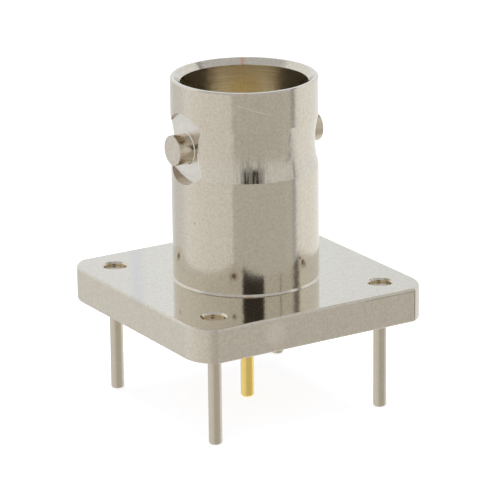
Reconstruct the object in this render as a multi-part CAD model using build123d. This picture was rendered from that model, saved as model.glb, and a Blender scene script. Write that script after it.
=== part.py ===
from build123d import *
import os

# Upright board-mount coaxial jack with a bayonet front and a square flange.
# The body is turned and milled from one brass bar and nickel plated: flange, barrel and both
# bayonet lugs are one piece. Inside it a gilt socket contact is trapped by its collar between
# two fluoropolymer insulators, which a pressed-in ring holds from below. Four ground posts are
# pressed into the corners of the flange, and stand as far below it as the contact's pin.
# Millimetres. +Z points out of the mating face. The origin is the centre of the flange's
# underside, which seats on the board, and X runs through the two lugs.

# Flange, its corner rounds trimmed by the cut that squares its two Y sides
flange_side = 17.5
flange_thickness = 2.3
flange_corner_radius = 2.4
flange_corner_trim = 0.3
flange_edge_radius = 0.15

# Outside of the barrel
barrel_radius = 4.825
barrel_length = 13.54
barrel_foot_slope = 0.12
rim_edge_chamfer = 0.08

# Shallow neck in which the plug's ring turns, hollowed as one long arc, its middle just below
# the lugs
neck_depth = 0.225
neck_length = 3.38
neck_drop = 0.05

# Bayonet lugs, left standing by a hollow mill that leaves a round flat about each
lug_depth = 4.24
lug_radius = 1.0
lug_span = 11.0
lug_edge_chamfer = 0.03
lug_root_slope = 0.05
lug_flat_depth = 0.2
lug_flat_radius = 2.35

# Bore of the outer contact, the bevel round its mouth and the slight taper that leads from the
# bevel to the bore, with depths measured down from the rim
barrel_wall = 0.75
rim_land = 0.265
mouth_bevel_depth = 0.41
mouth_taper_width = 0.075
mouth_taper_depth = 1.8
shoulder_depth = 8.4
shoulder_thickness = 0.8

# Bore for the insulators, and the ring that closes it from below
insulator_bore_radius = 3.5
ring_seat_width = 0.6
ring_lip_width = 1.1
ring_thickness = 1.0
ring_recess = 0.1
ring_edge_chamfer = 0.15

# Insulators
nose_depth = 4.98
nose_radius = 2.375
nose_edge_chamfer = 0.2
rear_insulator_thickness = 2.4
insulator_clearance = 0.02

# Socket contact and its solder pin
socket_outer_radius = 1.05
socket_wall = 0.36
socket_bore_depth = 4.6
socket_drill_point = 0.3
socket_lead = 0.16
socket_recess = 0.2
socket_clearance = 0.12
slot_width = 0.2
slot_length = 3.4
slot_cuts = 2
slot_first_angle = 45
collar_radius = 1.5
collar_thickness = 0.8
collar_clearance = 0.02
stem_radius = 0.65
stem_clearance = 0.02
pin_radius = 0.445
pin_length = 6.25
pin_tip_chamfer = 0.12

# Ground posts: a head pressed into the flange and a thinner tail for the board
post_pitch = 12.7
post_hole_radius = 0.75
post_hole_chamfer = 0.12
post_recess = 0.25
post_radius = 0.445
post_length = 6.3
post_tip_chamfer = 0.12

# Gap left in the model at each press fit
press_gap = 0.005

# Levels and radii that follow from the sizes above
rim_height = flange_thickness + barrel_length
lug_height = rim_height - lug_depth
neck_height = lug_height - neck_drop
contact_bore_radius = barrel_radius - barrel_wall
neck_radius = barrel_radius - neck_depth
lug_flat_distance = neck_radius - lug_flat_depth
lug_root = (contact_bore_radius + lug_flat_distance) / 2
mouth_radius = barrel_radius - rim_land
shoulder_height = rim_height - shoulder_depth
lip_height = shoulder_height - shoulder_thickness
nose_height = rim_height - nose_depth
ring_top = ring_recess + ring_thickness
ring_radius = insulator_bore_radius + ring_seat_width - press_gap
split_height = ring_top + rear_insulator_thickness
insulator_radius = insulator_bore_radius - insulator_clearance
socket_inner_radius = socket_outer_radius - socket_wall
socket_top = nose_height - socket_recess
collar_top = split_height + collar_thickness


def spun(outline):
    """Solid of revolution about Z of a closed outline drawn as x = radius and y = height."""
    return revolve(Plane.XZ * make_face(outline), Axis.Z)


def turned(*corners):
    """Solid of revolution about Z of straight runs between (radius, height) corners."""
    return spun(Polyline(*corners, close=True))


def lug_stud():
    """A lug along Z: it stands on a flat at z = 0, sloped at its root and chamfered at its end."""
    skirt = lug_radius + lug_root_slope
    inside = lug_root - lug_flat_distance
    length = lug_span / 2 - lug_flat_distance
    return turned(
        (0, inside),
        (skirt, inside),
        (skirt, 0),
        (lug_radius, lug_root_slope),
        (lug_radius, length - lug_edge_chamfer),
        (lug_radius - lug_edge_chamfer, length),
        (0, length),
    )


def barrel():
    """The outside of the barrel, from inside the flange to the rim, with the neck turned in it."""
    neck = ThreePointArc(
        (barrel_radius, neck_height - neck_length / 2),
        (neck_radius, neck_height),
        (barrel_radius, neck_height + neck_length / 2),
    )
    rest = Polyline(
        neck @ 1,
        (barrel_radius, rim_height - rim_edge_chamfer),
        (barrel_radius - rim_edge_chamfer, rim_height),
        (0, rim_height),
        (0, flange_thickness / 2),
        (barrel_radius, flange_thickness / 2),
        neck @ 0,
    )
    return spun(neck + rest)


def flange():
    """The square flange: corner rounds first, then the Y sides cut back, then all edges broken."""
    full_depth = flange_side + 2 * flange_corner_trim
    blank = RectangleRounded(flange_side, full_depth, flange_corner_radius)
    outline = blank & Rectangle(flange_side, flange_side)
    solid = extrude(outline, flange_thickness)
    rims = solid.edges().filter_by(Plane.XY)
    return fillet(rims, flange_edge_radius)


def foot_slope():
    """The narrow slope that the tool's corner leaves between the barrel and the flange."""
    inner = barrel_radius - barrel_foot_slope
    outer = barrel_radius + barrel_foot_slope
    low = flange_thickness - barrel_foot_slope
    high = flange_thickness + barrel_foot_slope
    return turned(
        (outer, flange_thickness),
        (barrel_radius, high),
        (inner, high),
        (inner, low),
        (outer, low),
    )


def bore():
    """All that is bored out of the body along its axis, from the mouth to the ring's seat."""
    beyond = flange_thickness
    return turned(
        (0, rim_height + beyond),
        (mouth_radius, rim_height + beyond),
        (mouth_radius, rim_height),
        (contact_bore_radius + mouth_taper_width, rim_height - mouth_bevel_depth),
        (contact_bore_radius, rim_height - mouth_taper_depth),
        (contact_bore_radius, shoulder_height),
        (nose_radius + insulator_clearance, shoulder_height),
        (nose_radius + insulator_clearance, lip_height),
        (insulator_bore_radius, lip_height),
        (insulator_bore_radius, ring_top),
        (insulator_bore_radius + ring_seat_width, ring_top),
        (insulator_bore_radius + ring_seat_width, -beyond),
        (0, -beyond),
    )


def post_hole():
    """One post's hole through the flange, countersunk from above."""
    wide = post_hole_radius + post_hole_chamfer
    beyond = flange_thickness
    return turned(
        (0, -beyond),
        (post_hole_radius, -beyond),
        (post_hole_radius, flange_thickness - post_hole_chamfer),
        (wide, flange_thickness),
        (wide, flange_thickness + beyond),
        (0, flange_thickness + beyond),
    )


def post_places():
    """The centres of the four ground posts."""
    half = post_pitch / 2
    return [(x, y) for y in (-half, half) for x in (-half, half)]


def sideways(solid, side):
    """Turn a solid built along Z so that it points along +X or -X at the height of the lugs."""
    return Pos(0, 0, lug_height) * Rot(0, side * 90, 0) * solid


def body():
    """Flange, barrel and both lugs in one piece, bored and drilled."""
    solid = flange() + barrel() + foot_slope()
    mill = Pos(0, 0, lug_flat_distance) * Cylinder(
        lug_flat_radius, lug_span, align=(Align.CENTER, Align.CENTER, Align.MIN)
    )
    lug = Pos(0, 0, lug_flat_distance) * lug_stud()
    for side in (-1, 1):
        solid -= sideways(mill, side)
        solid += sideways(lug, side)
    solid -= bore()
    for x, y in post_places():
        solid -= Pos(x, y) * post_hole()
    return solid


def front_insulator():
    """The upper insulator: a nose round the socket on a flange that seats under the shoulder."""
    hole = socket_outer_radius + socket_clearance
    pocket = collar_radius + collar_clearance
    return turned(
        (hole, nose_height),
        (nose_radius - nose_edge_chamfer, nose_height),
        (nose_radius, nose_height - nose_edge_chamfer),
        (nose_radius, lip_height),
        (insulator_radius, lip_height),
        (insulator_radius, split_height),
        (pocket, split_height),
        (pocket, collar_top),
        (hole, collar_top),
    )


def rear_insulator():
    """The lower insulator: a plain bush that closes the pocket round the contact's collar."""
    hole = stem_radius + stem_clearance
    return turned(
        (hole, ring_top),
        (insulator_radius, ring_top),
        (insulator_radius, split_height),
        (hole, split_height),
    )


def retaining_ring():
    """The ring pressed into the body from below, just clear of the board."""
    opening = insulator_bore_radius - ring_lip_width
    return turned(
        (opening, ring_recess),
        (ring_radius - ring_edge_chamfer, ring_recess),
        (ring_radius, ring_recess + ring_edge_chamfer),
        (ring_radius, ring_top),
        (opening, ring_top),
    )


def centre_contact():
    """The slotted socket, its collar, a stem and the solder pin, turned from one rod."""
    bore_end = socket_top - socket_bore_depth
    solid = turned(
        (0, -pin_length),
        (pin_radius - pin_tip_chamfer, -pin_length),
        (pin_radius, -pin_length + pin_tip_chamfer),
        (pin_radius, ring_top),
        (stem_radius, ring_top),
        (stem_radius, split_height),
        (collar_radius, split_height),
        (collar_radius, collar_top),
        (socket_outer_radius, collar_top),
        (socket_outer_radius, socket_top),
        (socket_inner_radius + socket_lead, socket_top),
        (socket_inner_radius, socket_top - socket_lead),
        (socket_inner_radius, bore_end),
        (0, bore_end - socket_drill_point),
    )
    across = 2 * (socket_outer_radius + socket_wall)
    saw = Pos(0, 0, socket_top) * Box(across, slot_width, 2 * slot_length)
    for cut in range(slot_cuts):
        solid -= Rot(0, 0, slot_first_angle + cut * 180 / slot_cuts) * saw
    return solid


def ground_post():
    """One post: a head that fills its hole in the flange, and the tail that is soldered."""
    head_radius = post_hole_radius - press_gap
    return turned(
        (0, -post_length),
        (post_radius - post_tip_chamfer, -post_length),
        (post_radius, -post_length + post_tip_chamfer),
        (post_radius, 0),
        (head_radius, 0),
        (head_radius, flange_thickness - post_recess),
        (0, flange_thickness - post_recess),
    )


os.makedirs("parts", exist_ok=True)

pieces = {
    "body": body(),
    "front_insulator": front_insulator(),
    "rear_insulator": rear_insulator(),
    "retaining_ring": retaining_ring(),
    "centre_contact": centre_contact(),
}
for number, (x, y) in enumerate(post_places(), start=1):
    pieces[f"ground_post_{number}"] = Pos(x, y) * ground_post()

for name, solid in pieces.items():
    solid.label = name
    export_step(solid, f"parts/{name}.step")
    print(name, "volume", round(solid.volume, 3), "mm3")
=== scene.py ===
# %% [markdown]
# # A coaxial jack for a circuit board, nickel plated
#
# The solids come finished from the CAD source, in metres, with the origin under the middle of the
# flange and the two bayonet lugs along X. This lesson dresses them: it gives every surface the
# finish that its tool left on it, makes the four ground posts again with Geometry Nodes, and
# builds the small photographic studio that bright metal needs, because metal shows what stands
# round it rather than a colour of its own.

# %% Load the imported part
import math

import bpy
from mathutils import Matrix, Vector


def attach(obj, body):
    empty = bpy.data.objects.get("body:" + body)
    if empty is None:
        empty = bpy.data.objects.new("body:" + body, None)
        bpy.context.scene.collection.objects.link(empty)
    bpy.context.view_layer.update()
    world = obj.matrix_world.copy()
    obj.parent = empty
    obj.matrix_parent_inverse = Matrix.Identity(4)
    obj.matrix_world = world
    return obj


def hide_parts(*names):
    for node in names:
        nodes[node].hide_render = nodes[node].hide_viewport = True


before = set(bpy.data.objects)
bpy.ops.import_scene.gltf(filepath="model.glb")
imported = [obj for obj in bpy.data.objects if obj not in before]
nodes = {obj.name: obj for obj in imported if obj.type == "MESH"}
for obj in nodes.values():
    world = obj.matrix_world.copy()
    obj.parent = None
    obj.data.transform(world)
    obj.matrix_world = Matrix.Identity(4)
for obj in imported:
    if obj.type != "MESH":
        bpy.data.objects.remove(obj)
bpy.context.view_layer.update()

print("parts:", sorted(nodes))

# %% [markdown]
# A few sizes of the part are used by its finishes, to tell one machined surface from the next.
# They are in millimetres, as on the drawing of the part, and `MM` turns them to metres.

# %% Sizes that the finishes and the posts go by
MM = 0.001
PER_METRE = 1 / MM

flange_top = 2.3
flange_half_side = 8.75
foot_slope = 0.12
barrel_radius = 4.825
lug_height = 11.6
neck_height = 11.55
neck_length = 3.38
bore_radius = 4.15
lug_flat_distance = 4.4
lug_flat_radius = 2.35
lug_end_radius = 1.0
lug_end = 5.5
post_pitch = 12.7
post_radius = 0.445
post_length = 6.3
head_radius = 0.745
head_top = 2.05
post_hole_radius = 0.75
print("the barrel is", 2 * barrel_radius, "mm wide")

# %% [markdown]
# Colours are written as the hex codes that a painter or a web page uses. Those are sRGB values,
# which the renderer can't add up, so one function turns them to linear light.

# %% A colour from its hex code
def colour(code, strength=1.0):
    """Linear RGBA of an sRGB hex code, brightened or dimmed by strength."""
    channels = [int(code[i:i + 2], 16) / 255 for i in (1, 3, 5)]
    linear = [c / 12.92 if c <= 0.04045 else ((c + 0.055) / 1.055) ** 2.4 for c in channels]
    return tuple(c * strength for c in linear) + (1.0,)


print("nickel in linear light:", [round(c, 3) for c in colour("#D4CDC0")])

# %% [markdown]
# Materials, the world and Geometry Nodes are all trees of nodes. One function adds a node, sets
# its options, and gives each socket either a number or a link from an earlier node. A socket is
# picked by its name among those in use, or by its number where several share a name.

# %% Add one node to a tree
def add(tree, kind, settings=None, inputs=None):
    """Add a node; a node given as an input links from its first output in use."""
    made = tree.nodes.new(kind)
    for name, value in (settings or {}).items():
        setattr(made, name, value)
    for socket, value in (inputs or {}).items():
        if isinstance(socket, str):
            target = next(s for s in made.inputs if s.enabled and s.name == socket)
        else:
            target = made.inputs[socket]
        if isinstance(value, bpy.types.Node):
            value = next(s for s in value.outputs if s.enabled)
        if isinstance(value, bpy.types.NodeSocket):
            tree.links.new(value, target)
        else:
            target.default_value = value
    return made


def new_material(name):
    """An empty material, and its tree of nodes."""
    material = bpy.data.materials.new(name)
    material.use_nodes = True
    material.node_tree.nodes.clear()
    return material, material.node_tree


# %% [markdown]
# ## Nickel plate on turned brass
#
# The body is cut from a brass bar and plated with a few microns of nickel. The plate is a warm
# silver: it reflects about two thirds of the red light and half of the blue. It is far too thin
# to hide what lies under it, so each face still shows the tool that cut it. The first cells of
# this finish work out where on the body a point is, in millimetres, from Object coordinates.

# %% Nickel plate: where the point is
plate, tree = new_material("nickel plate on turned brass")
finish_place = add(tree, "ShaderNodeTexCoord")
in_mm = add(
    tree, "ShaderNodeVectorMath", {"operation": "SCALE"},
    {"Vector": finish_place.outputs["Object"], "Scale": PER_METRE},
)
x, y, z = add(tree, "ShaderNodeSeparateXYZ", inputs={"Vector": in_mm}).outputs
flat = add(tree, "ShaderNodeVectorMath", {"operation": "MULTIPLY"}, {0: in_mm, 1: (1, 1, 0)})
radius = add(tree, "ShaderNodeVectorMath", {"operation": "LENGTH"}, {0: flat}).outputs["Value"]
around = add(tree, "ShaderNodeVectorMath", {"operation": "NORMALIZE"}, {0: flat})
across = add(tree, "ShaderNodeMath", {"operation": "ABSOLUTE"}, {0: x})
along = add(tree, "ShaderNodeMath", {"operation": "ABSOLUTE"}, {0: y})
outermost = add(tree, "ShaderNodeMath", {"operation": "MAXIMUM"}, {0: across, 1: along})
print("nickel plate:", len(tree.nodes), "nodes so far")

# %% [markdown]
# A mask is 1 on one kind of surface and 0 elsewhere, and one is made by comparing a measure with
# a limit. Each limit stands a small margin off the real edge, because a point that lies exactly
# on a face can come out on either side of it. The flange's edge faces are the upright ones far
# out from the axis, and its lapped faces are what else lies low and outside the barrel's foot.

# %% Nickel plate: masks for the flange, the bore and the neck
margin = 0.02
steep_limit = 0.8
edge_depth = 1.2
facing = add(tree, "ShaderNodeSeparateXYZ", inputs={"Vector": finish_place.outputs["Normal"]})
steepness = add(tree, "ShaderNodeMath", {"operation": "ABSOLUTE"}, {0: facing.outputs["Z"]})
upright = add(tree, "ShaderNodeMath", {"operation": "LESS_THAN"}, {0: steepness, 1: steep_limit})
far_out = add(
    tree, "ShaderNodeMath", {"operation": "GREATER_THAN"},
    {0: outermost, 1: flange_half_side - edge_depth},
)
edge_face = add(tree, "ShaderNodeMath", {"operation": "MULTIPLY"}, {0: upright, 1: far_out})
low = add(tree, "ShaderNodeMath", {"operation": "LESS_THAN"}, {0: z, 1: flange_top + margin})
foot_edge = barrel_radius + foot_slope + 2 * margin
off_foot = add(tree, "ShaderNodeMath", {"operation": "GREATER_THAN"}, {0: radius, 1: foot_edge})
flange_face = add(tree, "ShaderNodeMath", {"operation": "MULTIPLY"}, {0: low, 1: off_foot})
in_bore = add(
    tree, "ShaderNodeMath", {"operation": "LESS_THAN"},
    {0: radius, 1: bore_radius + margin},
)
at_neck = add(
    tree, "ShaderNodeMath", {"operation": "COMPARE"},
    {0: z, 1: neck_height, 2: neck_length / 2},
)
in_neck = add(
    tree, "ShaderNodeMath", {"operation": "SUBTRACT", "use_clamp": True},
    {0: at_neck, 1: in_bore},
)
print("nickel plate:", len(tree.nodes), "nodes with the first masks")

# %% [markdown]
# A lug and the round flat about it lie inside a short cylinder round the lug's own axis. That
# place is split in three: the flat with the low step round it, the step alone, which is where
# the face doesn't look along X, and the lug's flank, which is what is left apart from its end.
# A post's hole is a short way from the hole's centre, and one test finds all four, because
# taking away the signs of X and Y folds the flange onto one of its quarters.

# %% Nickel plate: masks for the lugs and the posts' holes
side_limit = 0.5
above_lug = add(
    tree, "ShaderNodeVectorMath", {"operation": "SUBTRACT"},
    {0: in_mm, 1: (0, 0, lug_height)},
)
beside_lug = add(
    tree, "ShaderNodeVectorMath", {"operation": "MULTIPLY"},
    {0: above_lug, 1: (0, 1, 1)},
)
beside_lug = add(tree, "ShaderNodeVectorMath", {"operation": "LENGTH"}, {0: beside_lug})
lug_radius = beside_lug.outputs["Value"]
near_lug = add(
    tree, "ShaderNodeMath", {"operation": "LESS_THAN"},
    {0: lug_radius, 1: lug_flat_radius + margin / 2},
)
out_at_lug = add(
    tree, "ShaderNodeMath", {"operation": "GREATER_THAN"},
    {0: across, 1: lug_flat_distance - margin},
)
lug_face = add(tree, "ShaderNodeMath", {"operation": "MULTIPLY"}, {0: near_lug, 1: out_at_lug})
off_lug = add(
    tree, "ShaderNodeMath", {"operation": "GREATER_THAN"},
    {0: lug_radius, 1: lug_end_radius + margin},
)
milled_flat = add(tree, "ShaderNodeMath", {"operation": "MULTIPLY"}, {0: lug_face, 1: off_lug})
sideways = add(tree, "ShaderNodeMath", {"operation": "ABSOLUTE"}, {0: facing.outputs["X"]})
turned_away = add(tree, "ShaderNodeMath", {"operation": "LESS_THAN"}, {0: sideways, 1: side_limit})
flat_step = add(tree, "ShaderNodeMath", {"operation": "MULTIPLY"}, {0: milled_flat, 1: turned_away})
on_lug = add(
    tree, "ShaderNodeMath", {"operation": "SUBTRACT", "use_clamp": True},
    {0: lug_face, 1: off_lug},
)
short_of_end = add(
    tree, "ShaderNodeMath", {"operation": "LESS_THAN"},
    {0: across, 1: lug_end - 2 * margin},
)
lug_flank = add(tree, "ShaderNodeMath", {"operation": "MULTIPLY"}, {0: on_lug, 1: short_of_end})

quarter = add(tree, "ShaderNodeCombineXYZ", inputs={"X": across, "Y": along})
hole_centre = (post_pitch / 2, post_pitch / 2, 0)
off_centre = add(
    tree, "ShaderNodeVectorMath", {"operation": "DISTANCE"},
    {0: quarter, 1: hole_centre},
)
in_hole = add(
    tree, "ShaderNodeMath", {"operation": "LESS_THAN"},
    {0: off_centre.outputs["Value"], 1: post_hole_radius + margin / 2},
)
thin_plate = add(tree, "ShaderNodeMath", {"operation": "MAXIMUM"}, {0: in_hole, 1: in_bore})
print("nickel plate:", len(tree.nodes), "nodes with all masks")

# %% [markdown]
# A lathe leaves fine rings: the height of the surface changes quickly along the tool's path and
# slowly round the part. On a cylinder the path runs along Z, and on an end face along the radius,
# so `z + radius` counts the rings on both. Real feed marks are about 0.05 mm apart, finer than a
# pixel here, so they are drawn coarser, 0.09 mm apart. The milled edge faces have straight marks
# instead, and the hollow mill that cut the lugs turned about their own axis.

# %% Nickel plate: the direction of the tool marks
mark_spacing = 0.09
slow_change = 1.6
path = add(tree, "ShaderNodeMath", {"operation": "ADD"}, {0: z, 1: radius})
lug_path = add(tree, "ShaderNodeMath", {"operation": "ADD"}, {0: across, 1: lug_radius})
lathe_path = add(
    tree, "ShaderNodeMix", {"data_type": "FLOAT"},
    {"Factor": lug_face, "A": path, "B": lug_path},
)
tool_path = add(
    tree, "ShaderNodeMix", {"data_type": "FLOAT"},
    {"Factor": edge_face, "A": lathe_path, "B": z},
)
steps = add(tree, "ShaderNodeMath", {"operation": "MULTIPLY"}, {0: tool_path, 1: 1 / mark_spacing})
step_vector = add(tree, "ShaderNodeCombineXYZ", inputs={"Z": steps})
drift = add(
    tree, "ShaderNodeVectorMath", {"operation": "SCALE"},
    {"Vector": around, "Scale": slow_change},
)
mark_place = add(tree, "ShaderNodeVectorMath", {"operation": "ADD"}, {0: step_vector, 1: drift})
marks = add(tree, "ShaderNodeTexNoise", inputs={"Vector": mark_place, "Scale": 1.0, "Detail": 1.0})
print("tool marks every", mark_spacing, "mm")

# %% [markdown]
# The form tool that hollowed the neck chattered, so the neck has upright flutes about 0.15 mm
# apart as well as its rings. Plating adds a grain of its own. It is finer than a pixel, so it is
# drawn coarser, at 0.16 mm, where it makes the edges of reflections crumble. No cylinder is quite
# true, which makes them wander over a millimetre or two.

# %% Nickel plate: flutes, grain and swell
flute_spacing = 0.15
flute_run = 2.0
grain_size = 0.16
swell_size = 1.5
turns = barrel_radius / flute_spacing
flute_place = add(
    tree, "ShaderNodeVectorMath", {"operation": "SCALE"},
    {"Vector": around, "Scale": turns},
)
rising = add(tree, "ShaderNodeCombineXYZ", inputs={"Z": z})
flute_place = add(
    tree, "ShaderNodeVectorMath", {"operation": "MULTIPLY_ADD"},
    {0: rising, 1: (0, 0, 1 / flute_run), 2: flute_place},
)
flutes = add(
    tree, "ShaderNodeTexNoise",
    inputs={"Vector": flute_place, "Scale": 1.0, "Detail": 2.0},
)
grain = add(
    tree, "ShaderNodeTexNoise",
    inputs={"Vector": in_mm, "Scale": 1 / grain_size, "Detail": 2.0},
)
swell = add(
    tree, "ShaderNodeTexNoise",
    inputs={"Vector": in_mm, "Scale": 1 / swell_size, "Detail": 1.0},
)
print("flutes every", flute_spacing, "mm, grain of", grain_size, "mm")

# %% [markdown]
# Each pattern is a separate height, and their sum is the bump. A pattern has one height on most
# of the body and a greater one where its tool cut deeper. The bore was cut with a long thin bar,
# so its rings are the deepest. They hide the slight taper at its mouth, so its wall is shaded as
# a plain cylinder.

# %% Nickel plate: the bump that the patterns add up to
pattern_heights = [  # pattern, where it is greater, its height elsewhere and its height there in mm
    (marks, in_bore, 0.0008, 0.003),
    (flutes, in_neck, 0.0008, 0.0035),
    (grain, edge_face, 0.0021, 0.0045),
]
swell_height = 0.006
height = add(tree, "ShaderNodeMath", {"operation": "MULTIPLY"}, {0: swell, 1: swell_height})
for pattern, greater_at, usual, greater in pattern_heights:
    depth = add(
        tree, "ShaderNodeMapRange",
        inputs={"Value": greater_at, "To Min": usual, "To Max": greater},
    )
    height = add(
        tree, "ShaderNodeMath", {"operation": "MULTIPLY_ADD"},
        {0: pattern, 1: depth, 2: height},
    )

true_normal = add(tree, "ShaderNodeNewGeometry").outputs["Normal"]
to_axis = add(
    tree, "ShaderNodeVectorMath", {"operation": "SCALE"},
    {"Vector": around, "Scale": -1.0},
)
bore_wall = add(tree, "ShaderNodeMath", {"operation": "MULTIPLY"}, {0: in_bore, 1: upright})
wall_normal = add(
    tree, "ShaderNodeMix", {"data_type": "VECTOR"},
    {"Factor": bore_wall, "A": true_normal, "B": to_axis},
)
bump = add(
    tree, "ShaderNodeBump",
    inputs={"Strength": 1.0, "Distance": MM, "Height": height, "Normal": wall_normal},
)
print("greatest heights in mm:", [greater for *_, greater in pattern_heights] + [swell_height])

# %% [markdown]
# Roughness says how far a reflection is smeared. The top of the flange is lapped nearly to a
# mirror, the turned barrel is a little rougher, the bore and the posts' holes a little more
# again, and the edge faces, cut with a coarse mill, only give a soft glow. In the neck the
# chatter leaves bright and dull streaks by turns. A slow cloud varies it all, since no plated
# surface is quite even.

# %% Nickel plate: roughness
streak_roughness = 0.17
cloud_size = 0.9
cloud_share = 0.05
rough = 0.13
for where, roughness in [(flange_face, 0.06), (edge_face, 0.36), (thin_plate, 0.18)]:
    rough = add(
        tree, "ShaderNodeMix", {"data_type": "FLOAT"},
        {"Factor": where, "A": rough, "B": roughness},
    )
streaks = add(
    tree, "ShaderNodeMapRange", {"interpolation_type": "SMOOTHSTEP"},
    {"Value": flutes, "From Min": 0.42, "From Max": 0.6, "To Max": streak_roughness},
)
rough = add(
    tree, "ShaderNodeMath", {"operation": "MULTIPLY_ADD"},
    {0: streaks, 1: in_neck, 2: rough},
)
cloud = add(
    tree, "ShaderNodeTexNoise",
    inputs={"Vector": in_mm, "Scale": 1 / cloud_size, "Detail": 3.0},
)
rough = add(
    tree, "ShaderNodeMath", {"operation": "MULTIPLY_ADD"},
    {0: cloud, 1: cloud_share, 2: rough},
)
rough = add(tree, "ShaderNodeMath", {"operation": "SUBTRACT"}, {0: rough, 1: cloud_share / 2})
print("roughness from 0.06 on the flange's top to 0.36 on its edge faces")

# %% [markdown]
# The colour varies a little from grain to grain, because each grain of the plate is tilted its own
# way, and that fine salt and pepper is what tells metal from plastic. Some places have tones of
# their own, which change from ring to ring. The flats about the lugs are the cleanest cut. The
# lugs' flanks are tarnished, and the low step round each flat is darkened with painted shade.
# Current hardly reaches into the bore and the posts' holes, so the plate there is thin and the
# brass shows through as a yellow cast.

# %% Nickel plate: colour
tone = add(
    tree, "ShaderNodeMix", {"data_type": "RGBA"},
    {"Factor": grain, "A": colour("#E7E0D2"), "B": colour("#C1BAAC")},
)
local_tones = [  # where, lightest, darkest
    (milled_flat, "#EEEAE3", "#DCD8D0"),
    (lug_flank, "#E0D6C4", "#C0B29A"),
    # painted shade: the low step round each flat is darkened
    (flat_step, "#D0C2AD", "#8C7B66"),
    (in_bore, "#FDF4E2", "#DFD3B9"),
    (in_hole, "#E6D7BC", "#D0BF9D"),
]
for where, lightest, darkest in local_tones:
    local = add(
        tree, "ShaderNodeMix", {"data_type": "RGBA"},
        {"Factor": marks, "A": colour(lightest), "B": colour(darkest)},
    )
    tone = add(
        tree, "ShaderNodeMix", {"data_type": "RGBA"},
        {"Factor": where, "A": tone, "B": local},
    )
print(len(local_tones), "places with tones of their own")

# %% [markdown]
# Where the bore sends light straight back out of its mouth it looks golden, and a pale golden
# patch painted into the bore's colour gives that, as a painted reflection. A patch is a distance
# from a point, turned into a soft spot, which is held to the bore by that place's mask. On the
# outside there are a few brown specks, where rinse water dried, and one pale spot where the front
# edge face was rubbed. Their outlines are made ragged by adding some of the grain to the distance.

# %% Nickel plate: a painted reflection in the bore, dried specks and a rubbed spot
patch_centre = (2.15, 3.49, 13.6)
off_patch = add(
    tree, "ShaderNodeVectorMath", {"operation": "DISTANCE"},
    {0: in_mm, 1: patch_centre},
)
# painted reflection: a pale golden patch on the bore's far wall
painted_bore_reflection = add(
    tree, "ShaderNodeMapRange", {"interpolation_type": "SMOOTHSTEP"},
    {
        "Value": off_patch.outputs["Value"], "From Min": 0.2, "From Max": 2.0,
        "To Min": 0.9, "To Max": 0.0,
    },
)
painted_bore_reflection = add(tree, "ShaderNodeMath", {"operation": "MULTIPLY"}, {0: painted_bore_reflection, 1: in_bore})
tone = add(
    tree, "ShaderNodeMix", {"data_type": "RGBA"},
    {"Factor": painted_bore_reflection, "A": tone, "B": colour("#FFE9B4")},
)

ragged_share = 0.3
specks = [  # centre, size in mm, colour, strength
    ((-3.16, -3.65, 3.69), 0.16, "#6E5237", 0.75),
    ((-4.79, 0.55, 4.27), 0.13, "#6E5237", 0.75),
    ((1.50, -4.59, 4.06), 0.15, "#6E5237", 0.75),
    ((1.27, -4.66, 4.39), 0.10, "#6E5237", 0.75),
    ((-4.66, -1.27, 6.88), 0.05, "#6E5237", 0.75),
    ((7.39, 1.97, 2.30), 0.05, "#8A7560", 0.6),
    ((6.72, -2.67, 2.30), 0.06, "#8A7560", 0.6),
    ((-3.25, -8.75, 1.30), 0.80, "#F6F1E8", 0.30),
]
for centre, size, code, strength in specks:
    off_speck = add(
        tree, "ShaderNodeVectorMath", {"operation": "DISTANCE"},
        {0: in_mm, 1: centre},
    )
    ragged = add(
        tree, "ShaderNodeMath", {"operation": "MULTIPLY_ADD"},
        {0: grain, 1: ragged_share, 2: off_speck.outputs["Value"]},
    )
    spot = add(
        tree, "ShaderNodeMapRange", {"interpolation_type": "SMOOTHSTEP"},
        {
            "Value": ragged, "To Min": strength, "To Max": 0.0,
            "From Min": size * 0.4 + ragged_share / 2, "From Max": size * 1.4 + ragged_share / 2,
        },
    )
    tone = add(
        tree, "ShaderNodeMix", {"data_type": "RGBA"},
        {"Factor": spot, "A": tone, "B": colour(code)},
    )
print(len(specks), "specks")
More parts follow.
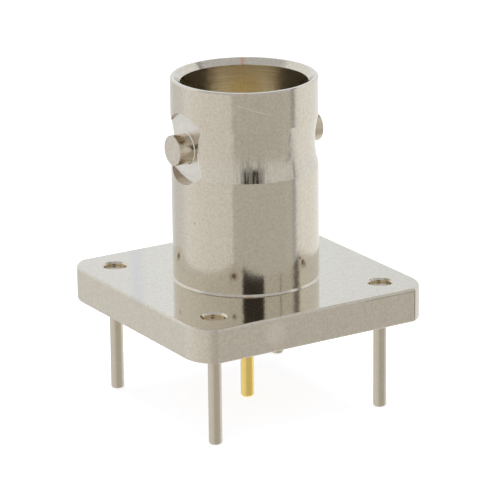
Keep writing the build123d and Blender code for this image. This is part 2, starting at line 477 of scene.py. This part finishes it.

# %% [markdown]
# Marks along straight lines are soft spots too, but the distance is taken from the nearest point
# of a run from start to end. On the round barrel a straight run dips under the surface, so the
# hairline scratch below the rim is drawn as three short runs, the last one fainter. A broad
# bluish-grey band painted across the flange's top is a painted reflection of a dark seam in the
# tent, and thin dark lines painted along the front edge face's upper edge and down the crease at
# its right end are painted shade.

# %% Nickel plate: a scratch, a painted reflection and painted shade
lines = [  # start, end, half width in mm, colour, strength
    ((-2.88, -3.87, 15.05), (-2.19, -4.30, 14.75), 0.05, "#FFFBF2", 0.5),
    ((-2.19, -4.30, 14.75), (-1.47, -4.59, 14.51), 0.05, "#FFFBF2", 0.5),
    ((-1.47, -4.59, 14.51), (-0.48, -4.80, 14.14), 0.05, "#FFFBF2", 0.25),
    # painted reflection: a bluish-grey band across the flange's top, for a dark seam in the tent
    ((-3.44, 8.59, 2.3), (-8.83, -1.09, 2.3), 0.75, "#B4B8BE", 0.3),
    # painted shade: dark lines along the front edge face's upper edge and down its crease
    ((3.6, -8.75, 2.12), (7.47, -8.75, 2.12), 0.06, "#8F8778", 0.5),
    ((7.47, -8.75, 0.3), (7.47, -8.75, 2.12), 0.06, "#7F776A", 0.8),
]
for start, end, half_width, code, strength in lines:
    run = Vector(end) - Vector(start)
    from_start = add(
        tree, "ShaderNodeVectorMath", {"operation": "SUBTRACT"},
        {0: in_mm, 1: start},
    )
    share = add(
        tree, "ShaderNodeVectorMath", {"operation": "DOT_PRODUCT"},
        {0: from_start, 1: run / run.length_squared},
    )
    share = add(tree, "ShaderNodeClamp", inputs={"Value": share.outputs["Value"]})
    nearest = add(
        tree, "ShaderNodeVectorMath", {"operation": "SCALE"},
        {"Vector": run, "Scale": share},
    )
    gap = add(
        tree, "ShaderNodeVectorMath", {"operation": "DISTANCE"},
        {0: from_start, 1: nearest},
    )
    line = add(
        tree, "ShaderNodeMapRange", {"interpolation_type": "SMOOTHSTEP"},
        {
            "Value": gap.outputs["Value"], "From Min": 0.0, "From Max": half_width,
            "To Min": strength, "To Max": 0.0,
        },
    )
    tone = add(
        tree, "ShaderNodeMix", {"data_type": "RGBA"},
        {"Factor": line, "A": tone, "B": colour(code)},
    )
print(len(lines), "lines")

# %% [markdown]
# The shader itself is a plain metal. Turned metal smears a reflection across its rings and not
# along them, which is what the anisotropic setting does, with a tangent that runs round the axis.

# %% Nickel plate: the shader
ring_tangent = add(tree, "ShaderNodeTangent", {"direction_type": "RADIAL", "axis": "Z"})
metal = add(
    tree, "ShaderNodeBsdfPrincipled",
    inputs={
        "Base Color": tone, "Metallic": 1.0, "Roughness": rough, "Anisotropic": 0.6,
        "Anisotropic Rotation": 0.25, "Normal": bump, "Tangent": ring_tangent,
    },
)
add(tree, "ShaderNodeOutputMaterial", inputs={"Surface": metal})
print("nickel plate:", len(tree.nodes), "nodes")

# %% [markdown]
# ## Gold plate
#
# The middle contact is brass under nickel under a flash of gold, which stays bright and solders
# well. Gold absorbs blue light, so its reflection is yellow at every angle. It is turned too, so
# it has the same kind of rings, here about 0.1 mm apart, which change every half millimetre
# round it.

# %% Gold plate on the contact
gilt, tree = new_material("gold plate on turned brass")
ring_spacing = 0.1
ring_run = 0.5
point = add(tree, "ShaderNodeTexCoord").outputs["Object"]
in_mm = add(
    tree, "ShaderNodeVectorMath", {"operation": "SCALE"},
    {"Vector": point, "Scale": PER_METRE},
)
stretched = add(
    tree, "ShaderNodeVectorMath", {"operation": "MULTIPLY"},
    {0: in_mm, 1: (1 / ring_run, 1 / ring_run, 1 / ring_spacing)},
)
rings = add(tree, "ShaderNodeTexNoise", inputs={"Vector": stretched, "Scale": 1.0, "Detail": 2.0})
cloud = add(tree, "ShaderNodeTexNoise", inputs={"Vector": in_mm, "Scale": 1 / 0.8, "Detail": 2.0})
tone = add(
    tree, "ShaderNodeMix", {"data_type": "RGBA"},
    {"Factor": cloud, "A": colour("#FBE08C"), "B": colour("#F4D37C")},
)
rough = add(tree, "ShaderNodeMapRange", inputs={"Value": cloud, "To Min": 0.16, "To Max": 0.28})
bump = add(
    tree, "ShaderNodeBump",
    inputs={"Strength": 1.0, "Distance": 0.0012 * MM, "Height": rings},
)
metal = add(
    tree, "ShaderNodeBsdfPrincipled",
    inputs={"Base Color": tone, "Metallic": 1.0, "Roughness": rough, "Normal": bump},
)
add(tree, "ShaderNodeOutputMaterial", inputs={"Surface": metal})
print("gold plate:", len(tree.nodes), "nodes")

# %% [markdown]
# ## Fluoropolymer
#
# The insulators are turned from a white, waxy fluoropolymer. Light goes a little way into it and
# comes out again, so its edges glow softly, and it is never glossy. Its index is low, 1.35. The
# tool's rings on its end faces are drawn 0.12 mm apart.

# %% Fluoropolymer of the insulators
wax, tree = new_material("turned white fluoropolymer")
ring_spacing = 0.12
point = add(tree, "ShaderNodeTexCoord").outputs["Object"]
in_mm = add(
    tree, "ShaderNodeVectorMath", {"operation": "SCALE"},
    {"Vector": point, "Scale": PER_METRE},
)
flat = add(tree, "ShaderNodeVectorMath", {"operation": "MULTIPLY"}, {0: in_mm, 1: (1, 1, 0)})
radius = add(tree, "ShaderNodeVectorMath", {"operation": "LENGTH"}, {0: flat}).outputs["Value"]
ring_number = add(
    tree, "ShaderNodeMath", {"operation": "MULTIPLY"},
    {0: radius, 1: 1 / ring_spacing},
)
rings = add(
    tree, "ShaderNodeTexNoise", {"noise_dimensions": "1D"},
    {"W": ring_number, "Scale": 1.0, "Detail": 1.0},
)
cloud = add(tree, "ShaderNodeTexNoise", inputs={"Vector": in_mm, "Scale": 1 / 0.7, "Detail": 3.0})
tone = add(
    tree, "ShaderNodeMix", {"data_type": "RGBA"},
    {"Factor": cloud, "A": colour("#F1F0EC"), "B": colour("#E8E7E1")},
)
bump = add(
    tree, "ShaderNodeBump",
    inputs={"Strength": 1.0, "Distance": 0.004 * MM, "Height": rings},
)
plastic = add(
    tree, "ShaderNodeBsdfPrincipled",
    inputs={
        "Base Color": tone, "Roughness": 0.45, "IOR": 1.35, "Normal": bump,
        "Subsurface Weight": 0.35, "Subsurface Radius": (1.0, 0.9, 0.8),
        "Subsurface Scale": 0.3 * MM,
    },
)
add(tree, "ShaderNodeOutputMaterial", inputs={"Surface": plastic})
print("fluoropolymer:", len(tree.nodes), "nodes")

# %% [markdown]
# A finish is put on a CAD part through its object's material slot. The part's mesh is left as it
# came, since the solids are right and their smooth normals came with them.

# %% Dress the carried-over parts
finishes = {
    "body": plate,
    "retaining_ring": plate,
    "front_insulator": wax,
    "rear_insulator": wax,
    "centre_contact": gilt,
}
for name, material in finishes.items():
    nodes[name].material_slots[0].link = "OBJECT"
    nodes[name].material_slots[0].material = material
print("dressed:", ", ".join(finishes))

# %% [markdown]
# ## The ground posts
#
# Four short lengths of wire are pressed into the flange's corners, and their lower ends go
# through the board. The wire is cropped and tumbled, so its ends are rounded, and it was plated
# after it was pressed in. One post could be turned from a profile and copied three times. A tree
# of Geometry Nodes says the same thing once, with its sizes as inputs: a rod with one rounded
# end, used for the tail and again for the head in the flange, and then one post on each corner
# of a square.

# %% Wire plate: the finish of the posts
wire, tree = new_material("nickel plate on drawn wire")
point = add(tree, "ShaderNodeTexCoord").outputs["Object"]
in_mm = add(
    tree, "ShaderNodeVectorMath", {"operation": "SCALE"},
    {"Vector": point, "Scale": PER_METRE},
)
streaks_per_mm = (9.0, 9.0, 0.9)  # each die mark is about 0.11 mm wide and ten times as long
drawn = add(
    tree, "ShaderNodeVectorMath", {"operation": "MULTIPLY"},
    {0: in_mm, 1: streaks_per_mm},
)
streaks = add(tree, "ShaderNodeTexNoise", inputs={"Vector": drawn, "Scale": 1.0, "Detail": 2.0})
cloud = add(tree, "ShaderNodeTexNoise", inputs={"Vector": in_mm, "Scale": 1 / 0.6, "Detail": 3.0})
tone = add(
    tree, "ShaderNodeMix", {"data_type": "RGBA"},
    {"Factor": cloud, "A": colour("#D6CDBD"), "B": colour("#CAC2B2")},
)
rough = add(tree, "ShaderNodeMapRange", inputs={"Value": cloud, "To Min": 0.2, "To Max": 0.34})
bump = add(
    tree, "ShaderNodeBump",
    inputs={"Strength": 1.0, "Distance": 0.002 * MM, "Height": streaks},
)
metal = add(
    tree, "ShaderNodeBsdfPrincipled",
    inputs={"Base Color": tone, "Metallic": 1.0, "Roughness": rough, "Normal": bump},
)
add(tree, "ShaderNodeOutputMaterial", inputs={"Surface": metal})
print("wire plate:", len(tree.nodes), "nodes")

# %% [markdown]
# A group's interface lists its inputs. They are declared first, each with its kind and a value.

# %% Start a geometry group with its named inputs
def new_group(name, sizes):
    """A geometry group with the given inputs, its input node, and where its result goes."""
    group = bpy.data.node_groups.new(name, "GeometryNodeTree")
    for label, (kind, value) in sizes.items():
        socket = group.interface.new_socket(label, in_out="INPUT", socket_type=kind)
        socket.default_value = value
    group.interface.new_socket("Geometry", in_out="OUTPUT", socket_type="NodeSocketGeometry")
    return group, group.nodes.new("NodeGroupInput").outputs, group.nodes.new("NodeGroupOutput")


# %% [markdown]
# The rod is a line swept with a circle whose radius changes from point to point, which is how a
# lathe works in Geometry Nodes. Its points crowd towards the rounded end, where the radius drops
# by a quarter circle.

# %% Rod with one rounded end: the line and its crowded points
rod, size, result = new_group("rod with one rounded end", {
    "Length": ("NodeSocketFloat", 1.0),
    "Radius": ("NodeSocketFloat", 0.5),
    "Round": ("NodeSocketFloat", 0.1),
    "Unevenness": ("NodeSocketFloat", 0.0),
    "Seed": ("NodeSocketInt", 1),
})
rod_points = 90
crowding = 2.2
line = add(rod, "GeometryNodeCurvePrimitiveLine", inputs={"Start": (0, 0, 0), "End": (0, 0, MM)})
line = add(rod, "GeometryNodeResampleCurve", inputs={"Curve": line, "Count": rod_points})
index = add(rod, "GeometryNodeInputIndex")
share = add(rod, "ShaderNodeMath", {"operation": "DIVIDE"}, {0: index, 1: float(rod_points - 1)})
crowded = add(rod, "ShaderNodeMath", {"operation": "POWER"}, {0: share, 1: crowding})
from_end = add(rod, "ShaderNodeMath", {"operation": "MULTIPLY"}, {0: crowded, 1: size["Length"]})
level = add(rod, "ShaderNodeMath", {"operation": "SUBTRACT"}, {0: size["Length"], 1: from_end})
new_place = add(rod, "ShaderNodeCombineXYZ", inputs={"Z": level})
line = add(rod, "GeometryNodeSetPosition", inputs={"Geometry": line, "Position": new_place})
print("rod:", rod_points, "points along its line")

# %% Rod with one rounded end: the radius at each point, and the sweep
left = add(rod, "ShaderNodeMath", {"operation": "SUBTRACT"}, {0: size["Round"], 1: from_end})
left = add(rod, "ShaderNodeMath", {"operation": "MAXIMUM"}, {0: left, 1: 0.0})
left_squared = add(rod, "ShaderNodeMath", {"operation": "MULTIPLY"}, {0: left, 1: left})
round_squared = add(
    rod, "ShaderNodeMath", {"operation": "MULTIPLY"},
    {0: size["Round"], 1: size["Round"]},
)
arc = add(rod, "ShaderNodeMath", {"operation": "SUBTRACT"}, {0: round_squared, 1: left_squared})
arc = add(rod, "ShaderNodeMath", {"operation": "SQRT"}, {0: arc})
core = add(rod, "ShaderNodeMath", {"operation": "SUBTRACT"}, {0: size["Radius"], 1: size["Round"]})
rod_radius = add(rod, "ShaderNodeMath", {"operation": "ADD"}, {0: core, 1: arc})
rod_sides = 40
circle = add(
    rod, "GeometryNodeCurvePrimitiveCircle", {"mode": "RADIUS"},
    {"Resolution": rod_sides, "Radius": 1.0},
)
swept = add(
    rod, "GeometryNodeCurveToMesh",
    inputs={"Curve": line, "Profile Curve": circle, "Scale": rod_radius, "Fill Caps": True},
)

print("rod:", rod_sides, "sides")

# %% [markdown]
# Drawn wire is never ruler straight, and without a slight unevenness its reflections would be. A
# slow noise moves each point along its normal. It only takes away, up to the amount given, so the
# rod never grows past its radius.

# %% Rod with one rounded end: its slight unevenness
wander_size = 1.2
spot_now = add(rod, "GeometryNodeInputPosition")
wander = add(
    rod, "ShaderNodeTexNoise", {"noise_dimensions": "4D"},
    {"Vector": spot_now, "W": size["Seed"], "Scale": PER_METRE / wander_size, "Detail": 1.0},
)
wander = add(rod, "ShaderNodeMath", {"operation": "SUBTRACT"}, {0: wander, 1: 1.0})
amount = add(rod, "ShaderNodeMath", {"operation": "MULTIPLY"}, {0: wander, 1: size["Unevenness"]})
facing = add(rod, "GeometryNodeInputNormal")
facing = add(rod, "ShaderNodeVectorMath", {"operation": "MULTIPLY"}, {0: facing, 1: (1, 1, 0)})
offset = add(
    rod, "ShaderNodeVectorMath", {"operation": "SCALE"},
    {"Vector": facing, "Scale": amount},
)
swept = add(rod, "GeometryNodeSetPosition", inputs={"Geometry": swept, "Offset": offset})
rod.links.new(swept.outputs[0], result.inputs["Geometry"])
print("rod:", len(rod.nodes), "nodes")

# %% [markdown]
# The second group stands a post on each corner. The tail points down and the head up, and each
# post is turned by a different amount, from a fixed seed, so that no two catch the light alike.

# %% Ground posts: tail and head
tail_round = 0.16
head_round = 0.1
unevenness = 0.012
posts_group, size, result = new_group("posts on a square", {
    "Pitch": ("NodeSocketFloat", post_pitch * MM),
    "Tail length": ("NodeSocketFloat", post_length * MM),
    "Tail radius": ("NodeSocketFloat", post_radius * MM),
    "Tail round": ("NodeSocketFloat", tail_round * MM),
    "Head height": ("NodeSocketFloat", head_top * MM),
    "Head radius": ("NodeSocketFloat", head_radius * MM),
    "Head round": ("NodeSocketFloat", head_round * MM),
    "Unevenness": ("NodeSocketFloat", unevenness * MM),
    "Seed": ("NodeSocketInt", 7),
    "Plate": ("NodeSocketMaterial", wire),
})
tail = add(posts_group, "GeometryNodeGroup", {"node_tree": rod}, {
    "Length": size["Tail length"], "Radius": size["Tail radius"], "Round": size["Tail round"],
    "Unevenness": size["Unevenness"], "Seed": size["Seed"],
})
tail = add(
    posts_group, "GeometryNodeTransform",
    inputs={"Geometry": tail, "Rotation": (math.pi, 0, 0)},
)
head = add(posts_group, "GeometryNodeGroup", {"node_tree": rod}, {
    "Length": size["Head height"], "Radius": size["Head radius"], "Round": size["Head round"],
    "Unevenness": 0.0, "Seed": size["Seed"],
})
post = add(posts_group, "GeometryNodeJoinGeometry", inputs={"Geometry": tail})
posts_group.links.new(head.outputs[0], post.inputs[0])
print("a post is", round(post_length + head_top, 2), "mm long")

# %% Ground posts: one on each corner, then real geometry and its finish
corners = add(posts_group, "GeometryNodeMeshGrid", inputs={
    "Size X": size["Pitch"], "Size Y": size["Pitch"], "Vertices X": 2, "Vertices Y": 2,
})
spin = add(
    posts_group, "FunctionNodeRandomValue", {"data_type": "FLOAT"},
    {"Min": 0.0, "Max": math.tau, "Seed": size["Seed"]},
)
turn = add(posts_group, "ShaderNodeCombineXYZ", inputs={"Z": spin})
standing = add(
    posts_group, "GeometryNodeInstanceOnPoints",
    inputs={"Points": corners, "Instance": post, "Rotation": turn},
)
real = add(posts_group, "GeometryNodeRealizeInstances", inputs={"Geometry": standing})
real = add(
    posts_group, "GeometryNodeSetMaterial",
    inputs={"Geometry": real, "Material": size["Plate"]},
)
posts_group.links.new(real.outputs[0], result.inputs["Geometry"])
print("posts:", len(posts_group.nodes), "nodes")

# %% [markdown]
# A modifier runs the tree on a carrier object. Its inputs are set by each socket's identifier,
# which never changes, unlike its name. The result is then baked: read back as a plain mesh, with
# the modifier gone, so that other programs see the posts as they are.

# %% Bake a tree into a plain mesh piece
def baked(name, group):
    """Run a geometry group on an empty carrier and return its result as a mesh object."""
    piece = bpy.data.objects.new(name, bpy.data.meshes.new(name))
    bpy.context.scene.collection.objects.link(piece)
    modifier = piece.modifiers.new(name, "NODES")
    modifier.node_group = group
    for item in group.interface.items_tree:
        if item.in_out == "INPUT":
            modifier[item.identifier] = item.default_value
    evaluated = piece.evaluated_get(bpy.context.evaluated_depsgraph_get())
    mesh = bpy.data.meshes.new_from_object(evaluated)
    piece.modifiers.clear()
    piece.data = mesh
    mesh.name = name
    mesh.shade_smooth()
    mesh.set_sharp_from_angle(angle=math.radians(40))
    return piece


posts = baked("ground_posts", posts_group)
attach(posts, "root")
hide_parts("ground_post_1", "ground_post_2", "ground_post_3", "ground_post_4")
print("posts:", len(posts.data.polygons), "faces")

# %% [markdown]
# ## The studio
#
# Bright metal is photographed in a tent of white paper, and what it shows is the tent. Straight
# walls here reflect the paper below the horizon, and the flange's top the paper above it, so the
# tent is drawn as two bands, each a list of brightness by the angle round the object. The
# angle is counted from the camera's side of the object, to the right. Lamps could light such
# paper, but a world that is bright where the paper is bright gives the same reflections without
# noise. The tent stands still when the camera goes round the object, as a real one does.

# %% The tent: directions as angles round and above the object
camera_azimuth = -31.648
tent = bpy.data.worlds.new("white paper tent")
bpy.context.scene.world = tent
tent.use_nodes = True
tree = tent.node_tree
tree.nodes.clear()
ray = add(tree, "ShaderNodeTexCoord").outputs["Generated"]
ray = add(
    tree, "ShaderNodeVectorRotate", {"rotation_type": "Z_AXIS"},
    {"Vector": ray, "Angle": math.radians(-camera_azimuth)},
)
sight = add(tree, "ShaderNodeSeparateXYZ", inputs={"Vector": ray})
ahead = add(tree, "ShaderNodeMath", {"operation": "MULTIPLY"}, {0: sight.outputs["Y"], 1: -1.0})
round_angle = add(
    tree, "ShaderNodeMath", {"operation": "ARCTAN2"},
    {0: sight.outputs["X"], 1: ahead},
)
round_angle = add(tree, "ShaderNodeMath", {"operation": "DEGREES"}, {0: round_angle})
rise = add(tree, "ShaderNodeMath", {"operation": "ARCSINE"}, {0: sight.outputs["Z"]})
rise = add(tree, "ShaderNodeMath", {"operation": "DEGREES"}, {0: rise})
print("the camera stands at", camera_azimuth, "degrees")

# %% The tent: a band of paper from a list of brightnesses
paper_below = [  # angle in degrees, colour, brightness
    (-180, "#FFFFFF", 0.90), (-165, "#FFFFFF", 0.80), (-140, "#FFFFFF", 0.73),
    (-120, "#FFFFFF", 0.77), (-100, "#FFFFFF", 0.89), (-62, "#FFFDF8", 0.81),
    (-21, "#FFFDF8", 0.76), (-18.5, "#FFFBF2", 0.565), (20, "#FFFBF2", 0.56),
    (60, "#FFFBF2", 0.56), (70, "#FFFBF2", 0.59), (83, "#FFFBF2", 0.63),
    (85, "#FFFFFF", 0.83), (100, "#FFFFFF", 0.96), (180, "#FFFFFF", 1.00),
]
paper_above = [
    (-180, "#F1F7FF", 1.09), (-177, "#F4F9FF", 1.03), (-140, "#FAFCFF", 1.00),
    (-100, "#FAFCFF", 1.00), (-60, "#FFFFFF", 0.84), (0, "#FFFFFF", 0.72),
    (60, "#FFFFFF", 0.74), (83, "#FFFFFF", 0.76), (86, "#FFFFFF", 0.95),
    (110, "#FAFCFF", 1.00), (177, "#F4F9FF", 0.97), (180, "#F1F7FF", 1.09),
]


def band(stops):
    """A ramp round the object, from -180 to 180 degrees, of the given colours and strengths."""
    round_share = add(
        tree, "ShaderNodeMapRange",
        inputs={"Value": round_angle, "From Min": -180.0, "From Max": 180.0},
    )
    ramp = add(tree, "ShaderNodeValToRGB", inputs={"Fac": round_share})
    stripes = ramp.color_ramp.elements
    while len(stripes) < len(stops):
        stripes.new(0.5)
    for stripe, (angle, code, strength) in zip(stripes, stops):
        stripe.position = (angle + 180) / 360
        stripe.color = colour(code, strength)
    return ramp.outputs["Color"]


upward = add(
    tree, "ShaderNodeMapRange", {"interpolation_type": "SMOOTHSTEP"},
    {"Value": rise, "From Min": -15.0, "From Max": -5.0},
)
paper = add(
    tree, "ShaderNodeMix", {"data_type": "RGBA"},
    {"Factor": upward, "A": band(paper_below), "B": band(paper_above)},
)
print(len(paper_below) + len(paper_above), "strips of paper")

# %% [markdown]
# The roof is a separate sheet, cooler and dimmer than the walls. Darker places in the paper draw
# the lines that tell the eye that the metal is polished. The opening that the lens looks through
# gives the dark patch at the barrel's foot, and a narrow gap between two sheets gives the thin
# dark line along the barrel. That gap isn't straight and is widest just above the horizon, so it
# is drawn in four parts, with a fine crease beside it. One fold high up shows in the bevel of the
# mouth, and a faint pink place overhead in the far side of the rim. Each place is a rectangle of
# angles with soft sides.

# %% The tent: its roof, the opening for the lens, the gap and the folds
roof_start, roof_end = 45.0, 54.0
overhead = add(
    tree, "ShaderNodeMapRange", {"interpolation_type": "SMOOTHSTEP"},
    {"Value": rise, "From Min": roof_start, "From Max": roof_end},
)
paper = add(
    tree, "ShaderNodeMix", {"data_type": "RGBA"},
    {"Factor": overhead, "A": paper, "B": colour("#FAFBFF", 0.64)},
)
dark_places = [  # angle round, lean, angle up, half width, half height, colour, brightness
    (11.5, 0.0, 13.5, 17.0, 16.5, "#FFF2E0", 0.042),  # opening for the lens
    (56.0, 1.67, -13.0, 3.7, 4.0, "#F4F8FF", 0.38),  # gap, leaning below the horizon
    (55.7, 1.67, 16.0, 6.0, 6.0, "#F4EEE0", 0.17),  # gap, leaning and wider above it
    (55.7, 0.0, 16.0, 0.9, 6.0, "#F4EAD8", 0.22),  # crease beside the gap
    (83.0, 0.0, 0.0, 3.6, 10.0, "#F4F8FF", 0.50),  # gap, upright at the horizon
    (82.0, 0.0, -33.0, 3.6, 14.0, "#F4F8FF", 0.48),  # gap, low down
    (109.5, 0.0, 44.0, 3.4, 14.0, "#F8FAFF", 0.25),  # fold high up
    (7.0, 0.0, 76.0, 9.0, 4.0, "#FFD2C4", 0.6),  # pink place overhead
]
side_blur = 0.7
end_blur = 1.5
off_level = add(tree, "ShaderNodeMath", {"operation": "ABSOLUTE"}, {0: rise})
for middle, lean, middle_rise, half_width, half_height, code, strength in dark_places:
    straightened = add(
        tree, "ShaderNodeMath", {"operation": "MULTIPLY_ADD"},
        {0: off_level, 1: -lean, 2: round_angle},
    )
    aside = add(tree, "ShaderNodeMath", {"operation": "SUBTRACT"}, {0: straightened, 1: middle})
    over = add(tree, "ShaderNodeMath", {"operation": "SUBTRACT"}, {0: rise, 1: middle_rise})
    covered = 1.0
    for off, half, blur in [(aside, half_width, side_blur), (over, half_height, end_blur)]:
        off = add(tree, "ShaderNodeMath", {"operation": "ABSOLUTE"}, {0: off})
        within = add(
            tree, "ShaderNodeMapRange",
            inputs={
                "Value": off, "From Min": half - blur, "From Max": half + blur,
                "To Min": 1.0, "To Max": 0.0,
            },
        )
        covered = add(tree, "ShaderNodeMath", {"operation": "MULTIPLY"}, {0: within, 1: covered})
    paper = add(
        tree, "ShaderNodeMix", {"data_type": "RGBA"},
        {"Factor": covered, "A": paper, "B": colour(code, strength)},
    )
print(len(dark_places), "darker places in the paper")

# %% [markdown]
# The tent is only for reflections. The camera sees plain white behind the object, and surfaces
# that scatter light, such as the white insulators, get an even glow. Light Path tells these
# kinds of ray apart.

# %% The tent: what each kind of ray sees
even_glow = 0.45
path_kind = add(tree, "ShaderNodeLightPath")
shiny = add(
    tree, "ShaderNodeMath", {"operation": "MAXIMUM"},
    {0: path_kind.outputs["Is Glossy Ray"], 1: path_kind.outputs["Is Transmission Ray"]},
)
seen = add(
    tree, "ShaderNodeMix", {"data_type": "RGBA"},
    {"Factor": shiny, "A": colour("#FFFFFF", even_glow), "B": paper},
)
seen = add(
    tree, "ShaderNodeMix", {"data_type": "RGBA"},
    {"Factor": path_kind.outputs["Is Camera Ray"], "A": seen, "B": colour("#FFFFFF")},
)
glow = add(tree, "ShaderNodeBackground", inputs={"Color": seen, "Strength": 1.0})
add(tree, "ShaderNodeOutputWorld", inputs={"Surface": glow})
tent.cycles.sampling_method = "NONE"
print("tent:", len(tree.nodes), "nodes")

# %% [markdown]
# The floor is a wide white sheet that the posts stand on. A little light of its own keeps it
# white for the camera, while the lamps still put the object's soft shadow on it. Metal shows the
# tent's lower band in its place. Seen from below it lets the camera through.

# %% The floor
floor_level = -post_length * MM
reach = 1.5
sheet = bpy.data.meshes.new("floor")
sheet.from_pydata(
    [(u * reach, v * reach, floor_level) for u, v in [(-1, -1), (1, -1), (1, 1), (-1, 1)]],
    [], [(0, 1, 2, 3)],
)
floor = bpy.data.objects.new("floor", sheet)
bpy.context.scene.collection.objects.link(floor)
floor.visible_glossy = False
print("floor at", floor_level, "m")

# %% The floor's finish
card, tree = new_material("matt white card")
fibre_spacing = 1.11
own_brightness = 0.66
fibre_place = add(tree, "ShaderNodeTexCoord").outputs["Object"]
fibre = add(
    tree, "ShaderNodeTexNoise",
    inputs={"Vector": fibre_place, "Scale": PER_METRE / fibre_spacing, "Detail": 2.0},
)
white = add(
    tree, "ShaderNodeMix", {"data_type": "RGBA"},
    {"Factor": fibre, "A": colour("#F2F2F2"), "B": colour("#EEEEEE")},
)
matt = add(tree, "ShaderNodeBsdfDiffuse", inputs={"Color": white})
seen_direct = add(tree, "ShaderNodeLightPath").outputs["Is Camera Ray"]
lift = add(tree, "ShaderNodeMath", {"operation": "MULTIPLY"}, {0: seen_direct, 1: own_brightness})
own_light = add(
    tree, "ShaderNodeEmission",
    inputs={"Color": colour("#F7F9FF"), "Strength": lift},
)
top_side = add(tree, "ShaderNodeAddShader", inputs={0: matt, 1: own_light})
from_below = add(tree, "ShaderNodeNewGeometry").outputs["Backfacing"]
clear = add(tree, "ShaderNodeBsdfTransparent")
both = add(tree, "ShaderNodeMixShader", inputs={0: from_below, 1: top_side, 2: clear})
add(tree, "ShaderNodeOutputMaterial", inputs={"Surface": both})
sheet.materials.append(card)
print("card:", len(tree.nodes), "nodes")

# %% [markdown]
# Two wide area lamps give the scattering surfaces some shape. They are dim, because the tent's
# glow already gives most of the light, and together they render a colour about as it is written.
# Metal doesn't show them, since it shows the tent.

# %% Soft lamps
lamp_target = Vector((0, 0, 0.005))
lamps = [  # name, place and width in metres, power in watts
    ("overhead softbox", (0.05, 0.02, 0.45), 0.5, 1.3),
    ("front fill", (-0.35, -0.35, 0.25), 0.3, 0.18),
]
for name, place_at, width, power in lamps:
    data = bpy.data.lights.new(name, "AREA")
    data.shape = "DISK"
    data.size = width
    data.energy = power
    lamp = bpy.data.objects.new(name, data)
    bpy.context.scene.collection.objects.link(lamp)
    lamp.location = place_at
    lamp.rotation_mode = "QUATERNION"
    lamp.rotation_quaternion = (lamp_target - Vector(place_at)).to_track_quat("-Z", "Y")
    lamp.visible_glossy = False
    lamp.visible_camera = False
print(len(lamps), "lamps")

# %% [markdown]
# ## The camera
#
# A long lens from about 22 cm, a little above the object and to the left of the flange's middle.
# Its axes are worked out from its angles, with the one that the tent was set by among them, and
# the point that it looks at is given directly.

# %% The camera
elevation = 17.643
roll = -0.638
distance = 0.21574
aim = Vector((-0.39077, -1.14107, 4.30111)) * MM
turn, tilt, lean = (math.radians(angle) for angle in (camera_azimuth, elevation, roll))
back = Vector((
    math.sin(turn) * math.cos(tilt), -math.cos(turn) * math.cos(tilt), math.sin(tilt),
))
level_right = Vector((math.cos(turn), math.sin(turn), 0))
level_up = back.cross(level_right)
right = math.cos(lean) * level_right + math.sin(lean) * level_up
up = math.cos(lean) * level_up - math.sin(lean) * level_right

lens = bpy.data.cameras.new("camera")
lens.sensor_width = 36.0
lens.lens = 237.23
lens.clip_start = 0.01
lens.clip_end = 10.0
camera = bpy.data.objects.new("camera", lens)
bpy.context.scene.collection.objects.link(camera)
axes = Matrix((right, up, back)).transposed().to_4x4()
camera.matrix_world = Matrix.Translation(aim + back * distance) @ axes
bpy.context.scene.camera = camera
bpy.context.scene.view_settings.view_transform = "Standard"
print("camera at", [round(c, 4) for c in camera.location])
